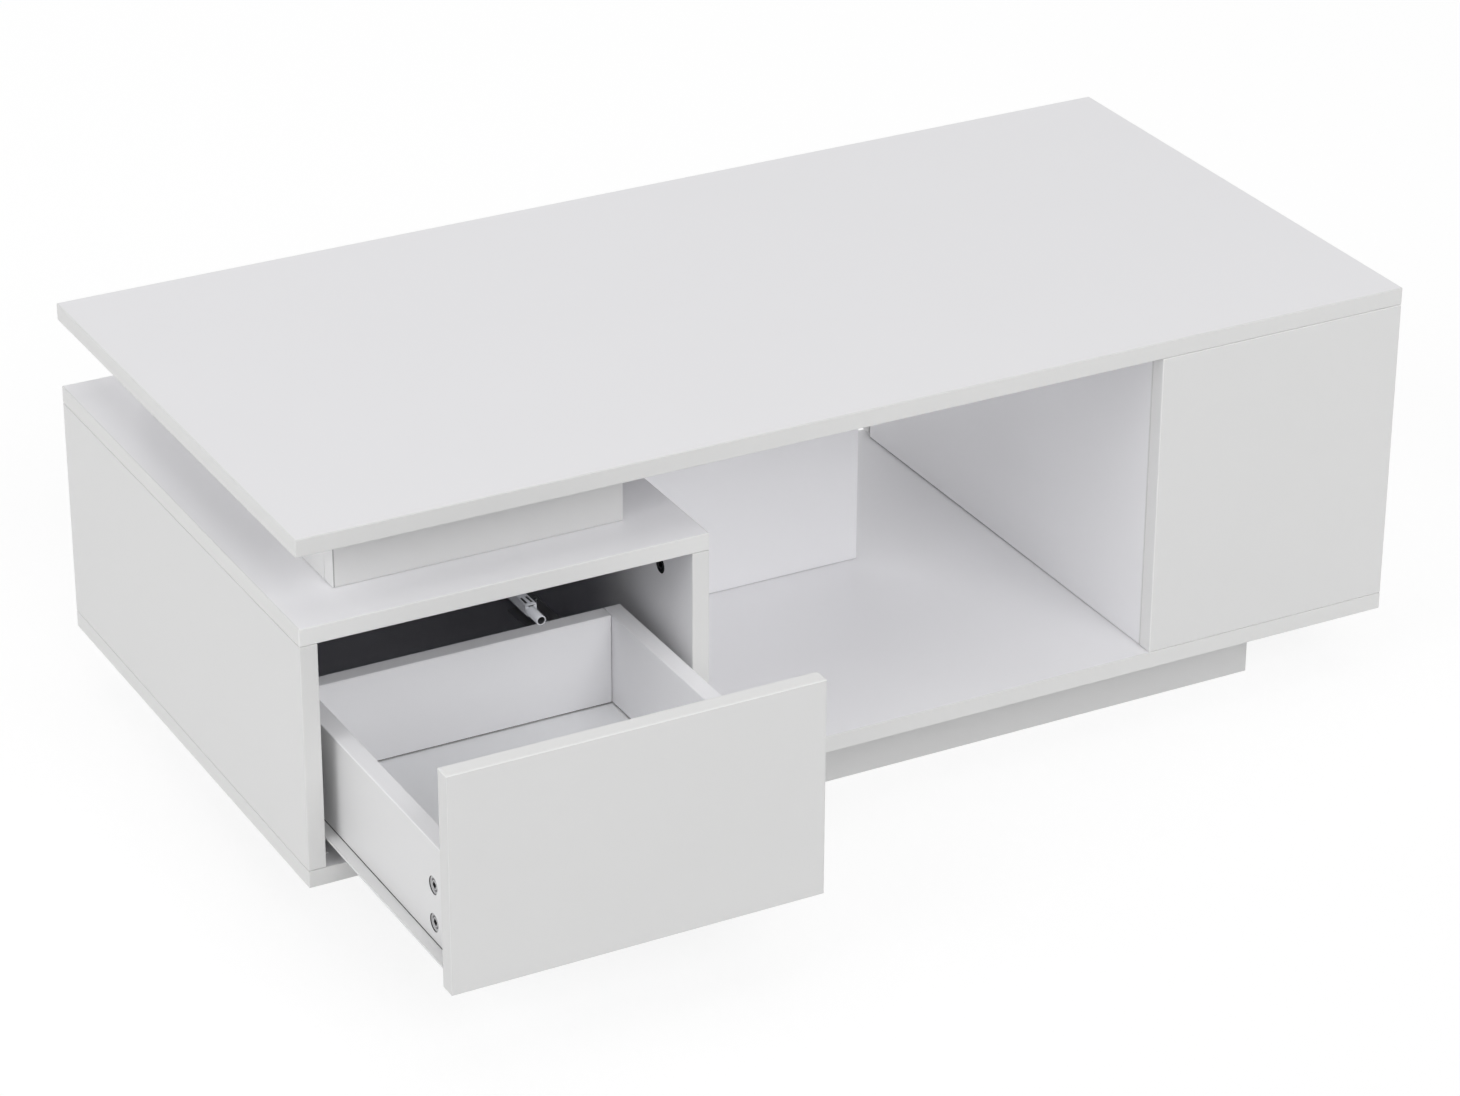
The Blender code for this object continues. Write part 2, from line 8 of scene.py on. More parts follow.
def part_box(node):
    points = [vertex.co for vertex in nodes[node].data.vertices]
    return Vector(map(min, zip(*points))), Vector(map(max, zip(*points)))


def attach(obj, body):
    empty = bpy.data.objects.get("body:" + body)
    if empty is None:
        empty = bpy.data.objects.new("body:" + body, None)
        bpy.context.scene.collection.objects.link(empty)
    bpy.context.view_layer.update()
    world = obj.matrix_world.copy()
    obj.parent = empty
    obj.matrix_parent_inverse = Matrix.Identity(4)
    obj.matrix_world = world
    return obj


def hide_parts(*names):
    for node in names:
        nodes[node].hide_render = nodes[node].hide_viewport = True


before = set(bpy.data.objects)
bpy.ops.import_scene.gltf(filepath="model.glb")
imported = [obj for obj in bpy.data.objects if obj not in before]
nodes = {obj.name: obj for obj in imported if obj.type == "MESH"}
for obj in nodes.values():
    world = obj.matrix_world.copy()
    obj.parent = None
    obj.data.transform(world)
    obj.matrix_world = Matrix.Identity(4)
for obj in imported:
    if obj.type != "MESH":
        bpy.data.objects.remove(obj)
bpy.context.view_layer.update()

scene = bpy.context.scene
drawers = ("front_drawer", "rear_drawer")


# Laminated board. Every large piece is 15 mm particle board faced with white melamine paper,
# pressed with a fine pearl texture, and its edges carry thin plastic bands. The bands are glued on
# and trimmed flush, so a hairline of glue shows just inside each edge.

def new_group(name, takes, gives):
    """An empty node group with named inputs and outputs, and its two end nodes."""
    group = bpy.data.node_groups.new(name, "ShaderNodeTree")
    for label, kind, value in takes:
        socket = group.interface.new_socket(label, in_out="INPUT", socket_type="NodeSocket" + kind)
        socket.default_value = value
    for label, kind in gives:
        group.interface.new_socket(label, in_out="OUTPUT", socket_type="NodeSocket" + kind)
    return group, group.nodes.new("NodeGroupInput"), group.nodes.new("NodeGroupOutput")


def feed(tree, socket, value):
    """Link a socket to another one, or write a plain value into it."""
    if isinstance(value, bpy.types.NodeSocket):
        tree.links.new(value, socket)
    else:
        socket.default_value = value


def calculate(tree, operation, first, second=0.0, third=0.0):
    node = tree.nodes.new("ShaderNodeMath")
    node.operation = operation
    for socket, value in zip(node.inputs, (first, second, third)):
        feed(tree, socket, value)
    return node.outputs[0]


def along(tree, operation, first, second):
    """The sum, the difference, the distance or the least parts of two vectors."""
    node = tree.nodes.new("ShaderNodeVectorMath")
    node.operation = operation
    feed(tree, node.inputs[0], first)
    feed(tree, node.inputs[1], second)
    return node.outputs["Value" if operation == "DISTANCE" else "Vector"]


def remap(tree, value, low, high, to_low, to_high):
    """A smooth step from to_low to to_high, while a value goes from low to high."""
    node = tree.nodes.new("ShaderNodeMapRange")
    node.interpolation_type = "SMOOTHSTEP"
    for label, item in (("Value", value), ("From Min", low), ("From Max", high),
                        ("To Min", to_low), ("To Max", to_high)):
        feed(tree, node.inputs[label], item)
    return node.outputs["Result"]


def blend_colours(tree, share, first, second, how="MIX"):
    node = tree.nodes.new("ShaderNodeMix")
    node.data_type = "RGBA"
    node.blend_type = how
    feed(tree, node.inputs["Factor"], share)
    feed(tree, node.inputs["A"], first)
    feed(tree, node.inputs["B"], second)
    return node.outputs["Result"]


def noise(tree, place, size, detail=2.0, roughness=0.5):
    """Noise whose lumps are about size metres across."""
    node = tree.nodes.new("ShaderNodeTexNoise")
    feed(tree, node.inputs["Vector"], place)
    node.inputs["Scale"].default_value = 1.0 / size
    node.inputs["Detail"].default_value = detail
    node.inputs["Roughness"].default_value = roughness
    return node.outputs["Fac"]


def own_place(tree):
    return tree.nodes.new("ShaderNodeTexCoord").outputs["Object"]


band_thickness, glue_width = 0.0009, 0.00022


def edge_bands():
    """Where a board shows its plastic bands, and the hairline of glue beside them."""
    group, given, result = new_group(
        "edge bands",
        [("Low", "Vector", (0, 0, 0)), ("High", "Vector", (0, 0, 0)),
         ("Across", "Vector", (0, 0, 0)), ("Band", "Float", band_thickness),
         ("Glue", "Float", glue_width)],
        [("Band", "Float"), ("Glue", "Float")])
    place = own_place(group)
    inside = along(group, "MINIMUM", along(group, "SUBTRACT", place, given.outputs["Low"]),
                   along(group, "SUBTRACT", given.outputs["High"], place))
    split = group.nodes.new("ShaderNodeSeparateXYZ")
    feed(group, split.inputs[0], along(group, "ADD", inside, given.outputs["Across"]))
    nearest = calculate(group, "MINIMUM", split.outputs[0], split.outputs[1])
    nearest = calculate(group, "MINIMUM", nearest, split.outputs[2])
    width, glue = given.outputs["Band"], given.outputs["Glue"]
    outer = calculate(group, "ADD", width, glue)
    past_band = calculate(group, "GREATER_THAN", nearest, width)
    past_glue = calculate(group, "GREATER_THAN", nearest, outer)
    feed(group, result.inputs["Band"], calculate(group, "SUBTRACT", 1.0, past_band))
    feed(group, result.inputs["Glue"], calculate(group, "SUBTRACT", past_band, past_glue))
    return group


def pearl_texture():
    """The pressed pearl texture of melamine paper, with a slow waviness of the board."""
    group, given, result = new_group(
        "pearl texture", [("Pearl", "Float", 1.0)],
        [("Height", "Float"), ("Cloud", "Float"), ("Speck", "Float")])
    pearl_size, wave_size, cloud_size, speck_spacing = 0.0011, 0.045, 0.12, 0.05
    place = own_place(group)
    pearl = noise(group, place, pearl_size, 3.0, 0.6)
    wave = noise(group, place, wave_size, 1.0)
    height = calculate(group, "MULTIPLY", pearl, given.outputs["Pearl"])
    feed(group, result.inputs["Height"], calculate(group, "MULTIPLY_ADD", wave, 3.0, height))
    feed(group, result.inputs["Cloud"], noise(group, place, cloud_size, 4.0, 0.55))
    # About one cell in five of a cell pattern carries a speck, whose edge is a share of the cell
    speck_edge, plain_share = (0.010, 0.016), 0.82
    dots = group.nodes.new("ShaderNodeTexVoronoi")
    feed(group, dots.inputs["Vector"], place)
    dots.inputs["Scale"].default_value = 1.0 / speck_spacing
    spot = remap(group, dots.outputs["Distance"], *speck_edge, 1.0, 0.0)
    hue = group.nodes.new("ShaderNodeSeparateColor")
    feed(group, hue.inputs[0], dots.outputs["Color"])
    chosen = calculate(group, "GREATER_THAN", hue.outputs[0], plain_share)
    feed(group, result.inputs["Speck"], calculate(group, "MULTIPLY", spot, chosen))
    return group


hard = 0.00001      # the softness of a patch whose edge looks sharp


def inside_box():
    """Whether a point lies in a box, whose edge at low Y may be soft over some length."""
    group, given, result = new_group(
        "inside box", [("Low", "Vector", (0, 0, 0)), ("High", "Vector", (0, 0, 0)),
                       ("Soft", "Float", hard)], [("Inside", "Float")])
    place = own_place(group)
    above = group.nodes.new("ShaderNodeSeparateXYZ")
    feed(group, above.inputs[0], along(group, "SUBTRACT", place, given.outputs["Low"]))
    below = group.nodes.new("ShaderNodeSeparateXYZ")
    feed(group, below.inputs[0], along(group, "SUBTRACT", given.outputs["High"], place))
    inside = remap(group, above.outputs[1], 0.0, given.outputs["Soft"], 0.0, 1.0)
    for gap in (above.outputs[0], above.outputs[2], *below.outputs):
        inside = calculate(group, "MULTIPLY", inside, calculate(group, "GREATER_THAN", gap, 0.0))
    feed(group, result.inputs["Inside"], inside)
    return group


bands_group = edge_bands()
box_group = inside_box()
pearl_group = pearl_texture()


def place_group(tree, group, **values):
    node = tree.nodes.new("ShaderNodeGroup")
    node.node_tree = group
    for label, value in values.items():
        feed(tree, node.inputs[label], value)
    return node


def new_finish(name, roughness, metallic=0.0):
    """A material with its shader, whose plain values are set on the shader's own sockets."""
    finish = bpy.data.materials.new(name)
    finish.use_nodes = True
    tree = finish.node_tree
    shader = tree.nodes["Principled BSDF"]
    shader.inputs["Roughness"].default_value = roughness
    shader.inputs["Metallic"].default_value = metallic
    return finish, tree, shader


def relief(tree, shader, height, depth):
    bump = tree.nodes.new("ShaderNodeBump")
    bump.inputs["Distance"].default_value = depth
    feed(tree, bump.inputs["Height"], height)
    feed(tree, shader.inputs["Normal"], bump.outputs["Normal"])


# The whites are painted light and shade: the boards are one white melamine, and each board's face and band
# are set lighter or darker to match how light falls on it
front_white, inner_white, painted_light_white = (0.742, 0.742, 0.740), (0.868, 0.866, 0.884), (0.925, 0.923, 0.941)
band_white, painted_light_band = (0.747, 0.747, 0.742), (0.830, 0.830, 0.825)


def laminate(node, face=inner_white, band=band_white, patches=(), glue=glue_width):
    """The melamine finish of one board, with bands on its thin sides and a hairline of glue.

    Each patch is a box in which the board looks otherwise: its corners, softness and colour.
    """
    low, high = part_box(node)
    size = high - low
    thin = min(range(3), key=lambda axis: size[axis])
    across = Vector((0, 0, 0))
    across[thin] = 1.0
    finish, tree, shader = new_finish("laminate_" + node, 0.34)
    pearl = place_group(tree, pearl_group, Pearl=1.0)
    edges = place_group(tree, bands_group, Low=low, High=high, Across=across, Glue=glue)
    colour = blend_colours(tree, edges.outputs["Band"], (*face, 1.0), (*band, 1.0))
    # Specks and glue are a few hundredths darker than the paper
    shade = remap(tree, pearl.outputs["Cloud"], 0.3, 0.7, 0.996, 1.003)
    shade = calculate(tree, "MULTIPLY_ADD", pearl.outputs["Speck"], -0.07, shade)
    glued = calculate(tree, "MULTIPLY_ADD", edges.outputs["Glue"], -0.08, 1.0)
    shade = calculate(tree, "MULTIPLY", shade, glued)
    tone = tree.nodes.new("ShaderNodeCombineColor")
    for channel in range(3):
        feed(tree, tone.inputs[channel], shade)
    colour = blend_colours(tree, 1.0, colour, tone.outputs[0], "MULTIPLY")
    for patch_low, patch_high, soft, tint in patches:
        patch = place_group(tree, box_group, Low=patch_low, High=patch_high, Soft=soft)
        colour = blend_colours(tree, patch.outputs["Inside"], colour, (*tint, 1.0))
    feed(tree, shader.inputs["Base Color"], colour)
    feed(tree, shader.inputs["Roughness"], remap(tree, pearl.outputs["Cloud"], 0.25, 0.75, 0.32, 0.38))
    relief(tree, shader, pearl.outputs["Height"], 0.00001)
    return finish


# A patch that lies this deep on both sides of a face marks that face alone, and other patches
# reach this far over the board's box
skin, over = 0.0002, 0.001


def patch_on(node, tint, soft=hard, **limits):
    """A patch on a board: its box and a little over, cut to the limits given for x, y or z."""
    low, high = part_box(node)
    low, high = low - Vector((over, over, over)), high + Vector((over, over, over))
    for axis, (start, end) in limits.items():
        setattr(low, axis, start)
        setattr(high, axis, end)
    return low, high, soft, tint


def dress(node, finish):
    for holder in nodes[node].material_slots:
        holder.material = finish


# The carcass. A plinth of boards on edge carries the bottom board, the blocks stand on it, and the
# table top lies on the tall block and on the raised frame. Cam locks and dowels pull the joints
# tight, so only hairlines show between the boards.

# The plinth's white is set darker than the fronts', as painted shade
plinth_white = (0.710, 0.710, 0.708)
for side in ("front", "back", "left", "right", "brace"):
    dress("plinth_" + side, laminate("plinth_" + side, plinth_white))
for board in ("riser_back", "riser_right", "right_block_outer_side"):
    dress(board, laminate(board, front_white))

# The raised frame's left end is painted a lighter white as painted light, back to the front white past its
# front corner, and a dark line of painted shade runs down beside the band on the front board's left end
painted_end_white, join_shade_grey = (0.862, 0.862, 0.858), (0.40, 0.40, 0.40)
low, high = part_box("riser_front")
join_shade_line = patch_on("riser_front", join_shade_grey, x=(low.x + 0.0008, low.x + 0.0019),
                     y=(low.y - skin, low.y + skin))
dress("riser_front", laminate("riser_front", front_white, painted_end_white, [join_shade_line]))
low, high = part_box("riser_left")
past_corner = patch_on("riser_left", front_white, soft=0.08, x=(low.x - over, low.x + over),
                       y=(-0.185, high.y))
dress("riser_left", laminate("riser_left", painted_end_white, painted_end_white, [past_corner]))
dress("right_block_front_panel", laminate("right_block_front_panel", front_white, painted_light_band))

# The top's face and its darker front band are set to match how light falls on them, as painted light and
# shade
top_white, top_band_white = (0.820, 0.816, 0.834), (0.736, 0.736, 0.731)
low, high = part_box("table_top")
front_edge = patch_on("table_top", top_band_white, y=(low.y - over, low.y + skin))
dress("table_top", laminate("table_top", top_white, patches=[front_edge]))

# The partition's front is a lighter white and its back a darker one, set as painted light and shade
back_white = (0.800, 0.798, 0.812)
low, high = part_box("middle_partition")
back_face = patch_on("middle_partition", back_white, y=(high.y - skin, high.y + skin))
dress("middle_partition", laminate("middle_partition", painted_light_white, painted_light_white, [back_face], glue=0.0))

# The divider stands a hair off the bottom board and off the rear drawer front. The shade in those gaps is
# painted as a dark line along its foot and up its back edge, and the divider's face is set lighter as
# painted light
divider_white, foot_shade_dark, rear_shade_dark = (0.912, 0.910, 0.928), (0.16, 0.16, 0.17), (0.30, 0.30, 0.31)
low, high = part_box("right_block_divider")
left_face = (low.x - skin, low.x + skin)
foot = patch_on("right_block_divider", foot_shade_dark, soft=0.30, x=left_face, y=(low.y, high.y),
                z=(low.z - over, low.z + 0.0011))
rear = patch_on("right_block_divider", rear_shade_dark, x=left_face, y=(high.y - 0.0014, high.y))
dress("right_block_divider", laminate("right_block_divider", divider_white, patches=[foot, rear]))

# Inside the left block, behind the drawer, the boards are painted grey as the bay's shade, and the
# bores of its cam locks show raw board
bay_left, bay_right, bay_rear, bay_floor, bay_roof = -0.485, -0.167, 0.230, 0.075, 0.270
bay_shade_starts, bay_shade_fade, bay_shade_grey = -0.13, 0.07, (0.50, 0.50, 0.545)
bay_shade = [(Vector((bay_left - skin, bay_shade_starts, bay_floor - skin)),
            Vector((bay_right + skin, bay_rear + skin, bay_roof + skin)), bay_shade_fade, bay_shade_grey)]
# The bottom board and the left block's top are set lighter whites, as painted light
floor_white, block_top_white = (0.855, 0.853, 0.871), (0.893, 0.891, 0.909)
dress("bottom_board", laminate("bottom_board", floor_white, patches=bay_shade))
low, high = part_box("left_block_top")
front_edge = patch_on("left_block_top", painted_light_band, y=(low.y - over, low.y + band_thickness))
dress("left_block_top", laminate("left_block_top", block_top_white, patches=[*bay_shade, front_edge]))
dress("left_block_back", laminate("left_block_back", front_white, patches=bay_shade))

raw_board, inner_band, bore_half, bore_deep = (0.130, 0.100, 0.072), (0.785, 0.785, 0.781), 0.0078, 0.0135
block_cam_ys, block_cam_z = (-0.19, 0.19), 0.236
for board, bore, face, band in (
        ("left_block_outer_side", (bay_left - bore_deep, bay_left - skin), front_white, band_white),
        ("left_block_inner_side", (bay_right + skin, bay_right + bore_deep), inner_white, inner_band)):
    holes = [patch_on(board, raw_board, x=bore, y=(y - bore_half, y + bore_half),
                      z=(block_cam_z - bore_half, block_cam_z + bore_half)) for y in block_cam_ys]
    dress(board, laminate(board, face, band, bay_shade + holes))


# The drawer boxes. They are made of the same board, with a thin lacquered hardboard panel that
# slides into grooves, and a dark hairline of painted shade runs all round it.

# The drawer's whites are set board by board as painted light and shade, the fronts darker and the sides'
# inner faces lighter
drawer_white, drawer_band, side_white = (0.715, 0.715, 0.713), (0.715, 0.715, 0.712), (0.890, 0.888, 0.906)
side_outer_white, flange_shade_dark = (0.785, 0.785, 0.790), (0.10, 0.10, 0.105)
# The grooves and bores are milled into raw board. The grooves are painted darker still, as shade, up to a
# little above the panel, and the bores' walls near black, as shade
raw_groove_and_shade, raw_bore_and_shade = (0.06, 0.05, 0.04), (0.040, 0.037, 0.034)
groove_play, seam_shade_over = Vector((0.0012, 0.0012, 0.0004)), Vector((0, 0, 0.0009))
bore_mouth, bore_floor, seam_half = 0.00015, 0.0127, 0.0008

for drawer in drawers:
    low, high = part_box(drawer + "_bottom")
    groove = (low - groove_play, high + groove_play + seam_shade_over, hard, raw_groove_and_shade)
    board = drawer + "_front"
    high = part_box(board)[1]
    # The front's top band is painted lighter, as the light that falls on it
    top_band = patch_on(board, painted_light_band, z=(high.z - band_thickness, high.z + over))
    dress(board, laminate(board, drawer_white, drawer_band, [top_band, groove]))
    dress(drawer + "_back", laminate(drawer + "_back", band=inner_white, patches=[groove]))
    for side in ("left", "right"):
        board = drawer + "_side_" + side
        low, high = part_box(board)
        inward = 1 if (side == "left") == (drawer == "front_drawer") else -1
        outer = low.x if inward > 0 else high.x
        outer_face = (outer - skin, outer + skin)
        bore = sorted((outer + inward * bore_mouth, outer + inward * bore_floor))
        marks = [groove, patch_on(board, side_outer_white, x=outer_face,
                                  z=(low.z - over, high.z - band_thickness))]
        for level in ("low", "high"):
            cam_low, cam_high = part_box(drawer + "_cam_" + side + "_" + level)
            middle = (cam_low + cam_high) / 2
            marks.append(patch_on(board, raw_bore_and_shade, x=bore, y=(middle.y - bore_half, middle.y + bore_half),
                                  z=(middle.z - bore_half, middle.z + bore_half)))
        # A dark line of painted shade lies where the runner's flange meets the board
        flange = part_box(drawer + "_sliding_runner_" + side)[1].z
        marks.append(patch_on(board, flange_shade_dark, x=outer_face, y=(low.y, high.y),
                              z=(flange - seam_half, flange + seam_half)))
        dress(board, laminate(board, side_white, painted_light_white, marks))

panel_finish, tree, shader = new_finish("lacquered_hardboard", 0.42)
pearl = place_group(tree, pearl_group, Pearl=0.4)
lacquer_dull, lacquer_clear = (0.925, 0.932, 0.948, 1.0), (0.938, 0.944, 0.956, 1.0)
tint = remap(tree, pearl.outputs["Cloud"], 0.3, 0.7, 0.0, 1.0)
feed(tree, shader.inputs["Base Color"], blend_colours(tree, tint, lacquer_dull, lacquer_clear))
relief(tree, shader, pearl.outputs["Height"], 0.00002)
for drawer in drawers:
    dress(drawer + "_bottom", panel_finish)


# Runners and rollers. The runners are pressed from steel strip and powder-coated white, and the
# rollers are moulded nylon on riveted axles.

coat_finish, tree, shader = new_finish("powder_coat", 0.36)
coat_grey, coat_white = (0.78, 0.78, 0.785, 1.0), (0.81, 0.81, 0.81, 1.0)
coat_in_bay_shade = (0.42, 0.42, 0.44, 1.0)
peel_size, cloud_size, peel_depth = 0.0012, 0.05, 0.00006
place = own_place(tree)
peel = noise(tree, place, peel_size, 2.0)
cloud = noise(tree, place, cloud_size, 3.0)
coat = blend_colours(tree, cloud, coat_grey, coat_white)
# Behind the drawer the fixed runners are painted dark as shade, like the bay round them
bay_low, bay_high, bay_soft = bay_shade[0][:3]
bay_shade_box = place_group(tree, box_group, Low=bay_low, High=bay_high, Soft=bay_soft)
feed(tree, shader.inputs["Base Color"], blend_colours(tree, bay_shade_box.outputs["Inside"], coat, coat_in_bay_shade))
feed(tree, shader.inputs["Roughness"], remap(tree, cloud, 0.3, 0.7, 0.30, 0.42))
relief(tree, shader, peel, peel_depth)

nylon_finish, tree, shader = new_finish("roller_nylon", 0.45)
nylon_dull, nylon_pale = (0.70, 0.70, 0.68, 1.0), (0.74, 0.74, 0.72, 1.0)
cloud = noise(tree, own_place(tree), 0.004, 3.0)
feed(tree, shader.inputs["Base Color"], blend_colours(tree, cloud, nylon_dull, nylon_pale))
relief(tree, shader, cloud, 0.00003)
for drawer in drawers:
    for side in ("left", "right"):
        for kind in ("fixed", "sliding"):
            dress(drawer + "_" + kind + "_runner_" + side, coat_finish)
            dress(drawer + "_" + kind + "_roller_" + side, nylon_finish)


# Cam locks. Each is a round zinc casting, a little deep in its 15 mm bore, that draws a hidden
# bolt tight as it is turned. Its face has a rim, a sunk ring, a boss with a cross slot, and an arrow.

def settle(name):
    """Name the object that was just added and put its place into its mesh."""
    piece = bpy.context.active_object
    piece.name = name
    bpy.ops.object.transform_apply(location=True, rotation=True, scale=True)
    return piece


def add_bar(name, start, end, radius, sides):
    """A round bar from one point to another."""
    start, end = Vector(start), Vector(end)
    bpy.ops.object.select_all(action="DESELECT")
    bpy.ops.mesh.primitive_cylinder_add(
        vertices=sides, radius=radius, depth=(end - start).length, location=(start + end) / 2,
        rotation=(end - start).to_track_quat("Z", "Y").to_euler())
    return settle(name)


def add_block(name, low, high):
    """A square block between two corners."""
    low, high = Vector(low), Vector(high)
    bpy.ops.object.select_all(action="DESELECT")
    bpy.ops.mesh.primitive_cube_add(size=1.0, location=(low + high) / 2)
    bpy.context.active_object.scale = high - low
    return settle(name)


def pick_faces(wanted):
    """In edit mode, select only the faces that wanted accepts."""
    mesh = bpy.context.edit_object.data
    bpy.ops.mesh.select_mode(type="FACE")
    bpy.ops.mesh.select_all(action="DESELECT")
    shape = bmesh.from_edit_mesh(mesh)
    for face in shape.faces:
        if wanted(face):
            face.select_set(True)
    bmesh.update_edit_mesh(mesh)


def finish_with(piece, kind, **settings):
    """Add a modifier to a piece, set it and apply it."""
    bpy.ops.object.select_all(action="DESELECT")
    piece.select_set(True)
    bpy.context.view_layer.objects.active = piece
    step = piece.modifiers.new(kind.lower(), kind)
    for label, value in settings.items():
        setattr(step, label, value)
    bpy.ops.object.modifier_apply(modifier=step.name)


def shape_with(piece, tool, operation="DIFFERENCE"):
    """Cut a tool's shape out of a piece, or join it on, and throw the tool away."""
    finish_with(piece, "BOOLEAN", operation=operation, solver="EXACT", object=tool)
    bpy.data.objects.remove(tool)


def ease_edges(piece, width):
    finish_with(piece, "BEVEL", width=width, segments=2, limit_method="ANGLE", angle_limit=radians(32))


def smooth_round(piece):
    bpy.ops.object.select_all(action="DESELECT")
    piece.select_set(True)
    bpy.context.view_layer.objects.active = piece
    bpy.ops.object.shade_smooth_by_angle(angle=radians(34))


def cut_cross(piece, reach, width, depth, core):
    """A cross recess for a screwdriver in a face at x = 0 that looks along +X."""
    clear, taper = depth / 4, 0.55
    for tall, wide in ((reach, width), (width, reach)):
        blade = add_block("blade", (-depth, -wide / 2, -tall / 2), (clear, wide / 2, tall / 2))
        bpy.ops.object.mode_set(mode="EDIT")
        pick_faces(lambda face: face.normal.x < -0.9)
        bpy.ops.transform.resize(value=(1.0, taper if wide > tall else 1.0,
                                        taper if tall > wide else 1.0))
        bpy.ops.object.mode_set(mode="OBJECT")
        shape_with(piece, blade)
    shape_with(piece, add_bar("core", (-depth * 1.1, 0, 0), (clear, 0, 0), core, 16))


def mark_recess(piece, depth, reach):
    """Store how far each face within reach of the middle lies below x = 0, up to 1 at depth."""
    layer = piece.data.attributes.new("recess", "FLOAT", "FACE")
    for item, face in zip(layer.data, piece.data.polygons):
        within = Vector(face.center.yz).length < reach
        item.value = min(1.0, max(0.0, -face.center.x / depth)) if within else 0.0


def copy_piece(pattern, name, place):
    """Another of a finished piece, with its own mesh, put in its place."""
    twin = bpy.data.objects.new(name, pattern.data.copy())
    scene.collection.objects.link(twin)
    twin.data.transform(place)
    return twin


def turned_to(direction, spot, roll):
    """The place of a piece that was made facing +X, turned to face a direction at a spot."""
    turn = Vector((1, 0, 0)).rotation_difference(Vector(direction)).to_matrix().to_4x4()
    return Matrix.Translation(spot) @ turn @ Matrix.Rotation(roll, 4, "X")


cam_radius, cam_depth, cam_sunk = 0.0072, 0.0122, 0.0007
cam = add_bar("cam_pattern", (cam_sunk - cam_depth, 0, 0), (0, 0, 0), cam_radius, 64)
bpy.ops.object.mode_set(mode="EDIT")
pick_faces(lambda face: face.normal.x > 0.9)
# From the edge inwards: the flat rim in three steps, the slope down, the sunk ring, the slope up
for width, rise in ((0.0005, 0.0), (0.0001, 0.0), (0.0010, 0.0), (0.0003, -0.0008),
                    (0.0012, 0.0), (0.0003, 0.0006)):
    bpy.ops.mesh.inset(thickness=width, depth=rise)
bpy.ops.object.mode_set(mode="OBJECT")
cut_cross(cam, reach=0.0066, width=0.0019, depth=0.0042, core=0.0025)
arrow_middle, arrow_depth, arrow_size = 0.0062, 0.0003, 0.0007
shape_with(cam, add_bar("arrow", (-arrow_depth, 0, arrow_middle), (arrow_depth, 0, arrow_middle),
                        arrow_size, 3))
ease_edges(cam, 0.00012)
smooth_round(cam)
mark_recess(cam, depth=0.0014, reach=cam_radius - 0.0002)

def cast_zinc(name, dull, bright):
    """Cast zinc between two greys, with painted shade, near black, in the hollows of a piece."""
    finish, tree, shader = new_finish(name, 0.42, 1.0)
    grain = noise(tree, own_place(tree), 0.0012, 4.0, 0.6)
    depth_mark = tree.nodes.new("ShaderNodeAttribute")
    depth_mark.attribute_name = "recess"
    metal = blend_colours(tree, grain, (*dull, 1.0), (*bright, 1.0))
    recess_shade = remap(tree, depth_mark.outputs["Fac"], 0.15, 0.8, 0.0, 0.96)
    black = (0.012, 0.012, 0.013, 1.0)
    feed(tree, shader.inputs["Base Color"], blend_colours(tree, recess_shade, metal, black))
    feed(tree, shader.inputs["Roughness"], remap(tree, grain, 0.3, 0.7, 0.34, 0.52))
    relief(tree, shader, grain, 0.00006)
    return finish


cam.data.materials.append(cast_zinc("bright_zinc", (0.46, 0.46, 0.47), (0.62, 0.62, 0.63)))

cam_rolls = (0.3, 1.9, 2.6, 0.8, 1.2, 2.2, 0.1, 2.9)
drawer_cams = [(drawer, side, level) for drawer in drawers for side in ("left", "right")
               for level in ("low", "high")]
for (drawer, side, level), roll in zip(drawer_cams, cam_rolls):
    node = drawer + "_cam_" + side + "_" + level
    low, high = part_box(node)
    spot = (low + high) / 2
    away = -1 if (side == "left") == (drawer == "front_drawer") else 1
    spot.x = (low.x if away < 0 else high.x) - away * cam_sunk
    lock = copy_piece(cam, node + "_casting", turned_to((away, 0, 0), spot, roll))
    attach(lock, drawer)
    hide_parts(node)

# The block's cams are painted near black, as the deep shade round them, and sit flush in their bores
cam.data.materials[0] = cast_zinc("shade_black_zinc", (0.020, 0.020, 0.022), (0.060, 0.060, 0.062))
block_cam_spots = [(x, y, away) for x, away in ((bay_left, 1), (bay_right, -1)) for y in block_cam_ys]
for number, (x, y, away) in enumerate(block_cam_spots, 1):
    spot = (x - away * 0.0001, y, block_cam_z)
    lock = copy_piece(cam, "block_cam_%d" % number, turned_to((away, 0, 0), spot, 0.7 * number))
    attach(lock, "table")
bpy.data.objects.remove(cam)


# Screws. Zinc-plated pan heads hold the runners and the latches, and flat heads under the bottom
# board hold the uprights. All have a cross recess.

def make_screw(name, radius, height, rounding, reach):
    """A screw head that stands on x = -height and whose top is at x = 0."""
    screw = add_bar(name, (-height, 0, 0), (0, 0, 0), radius, 32)
    bpy.ops.object.mode_set(mode="EDIT")
    pick_faces(lambda face: face.normal.x > 0.9)
    bpy.ops.mesh.bevel(offset=rounding, segments=4, affect="EDGES")
    bpy.ops.object.mode_set(mode="OBJECT")
    cut_cross(screw, reach, width=reach / 4.2, depth=height * 0.72, core=reach / 5)
    smooth_round(screw)
    mark_recess(screw, depth=height * 0.8, reach=radius - rounding)
    screw.data.materials.append(plated_finish)
    return screw


